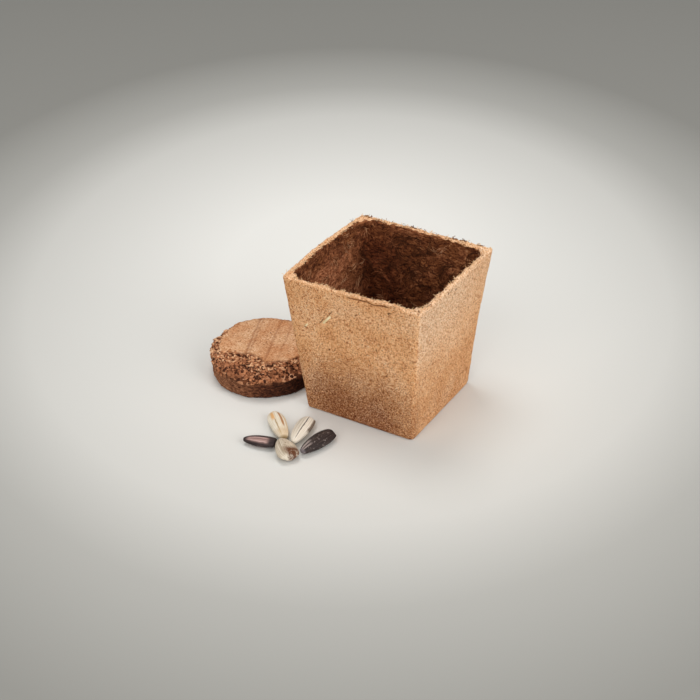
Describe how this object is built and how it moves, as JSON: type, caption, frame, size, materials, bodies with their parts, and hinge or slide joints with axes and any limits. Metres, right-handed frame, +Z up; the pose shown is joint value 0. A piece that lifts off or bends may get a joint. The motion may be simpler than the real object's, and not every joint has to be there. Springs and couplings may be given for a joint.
{
  "type": "peat pot",
  "caption": "Square tapered pot of pressed peat fibre with a pressed disc of growing medium and sunflower seeds laid out beside it, for raising a seedling.",
  "frame": {"origin": "middle of the pot's underside, on the surface that the set stands on", "axes": "+Z up out of the pot's mouth, -Y towards the broad wall that the picture shows, with the seeds in front of it, and -X towards the disc"},
  "size_m": [0.1073, 0.0933, 0.0624],
  "materials": {
    "pot_fibre": "pressed peat and wood fibre, matt, speckled, frayed at the rim",
    "growing_medium": "dry pressed peat and coir, matt, crumbly",
    "dark_hull": "black seed hull, satin, finely ridged along its length",
    "pale_hull": "cream seed hull with grey-brown stripes, satin",
    "grey_hull": "weathered grey seed hull, matt",
    "seed_kernel": "ivory seed kernel, waxy"
  },
  "bodies": {
    "pot": {"pot": "pot_fibre"},
    "soil_disc": {"soil_disc": "growing_medium"},
    "grey_seed": {"grey_seed_upper_hull": "grey_hull", "grey_seed_lower_hull": "grey_hull", "grey_seed_kernel": "seed_kernel"},
    "dark_seed_left": {"dark_seed_left_upper_hull": "dark_hull", "dark_seed_left_lower_hull": "dark_hull", "dark_seed_left_kernel": "seed_kernel"},
    "pale_seed_left": {"pale_seed_left_upper_hull": "pale_hull", "pale_seed_left_lower_hull": "pale_hull", "pale_seed_left_kernel": "seed_kernel"},
    "pale_seed_right": {"pale_seed_right_upper_hull": "pale_hull", "pale_seed_right_lower_hull": "pale_hull", "pale_seed_right_kernel": "seed_kernel"},
    "dark_seed_right": {"dark_seed_right_upper_hull": "dark_hull", "dark_seed_right_lower_hull": "dark_hull", "dark_seed_right_kernel": "seed_kernel"}
  },
  "joints": [
    {"name": "soil_disc_lift", "type": "slide", "parent": "pot", "child": "soil_disc", "axis": [0, 0, 1], "range_m": [0, 0.07]},
    {"name": "grey_seed_lift", "type": "slide", "parent": "pot", "child": "grey_seed", "axis": [0, 0, 1], "range_m": [0, 0.07]},
    {"name": "dark_seed_left_lift", "type": "slide", "parent": "pot", "child": "dark_seed_left", "axis": [0, 0, 1], "range_m": [0, 0.07]},
    {"name": "pale_seed_left_lift", "type": "slide", "parent": "pot", "child": "pale_seed_left", "axis": [0, 0, 1], "range_m": [0, 0.07]},
    {"name": "pale_seed_right_lift", "type": "slide", "parent": "pot", "child": "pale_seed_right", "axis": [0, 0, 1], "range_m": [0, 0.07]},
    {"name": "dark_seed_right_lift", "type": "slide", "parent": "pot", "child": "dark_seed_right", "axis": [0, 0, 1], "range_m": [0, 0.07]}
  ]
}
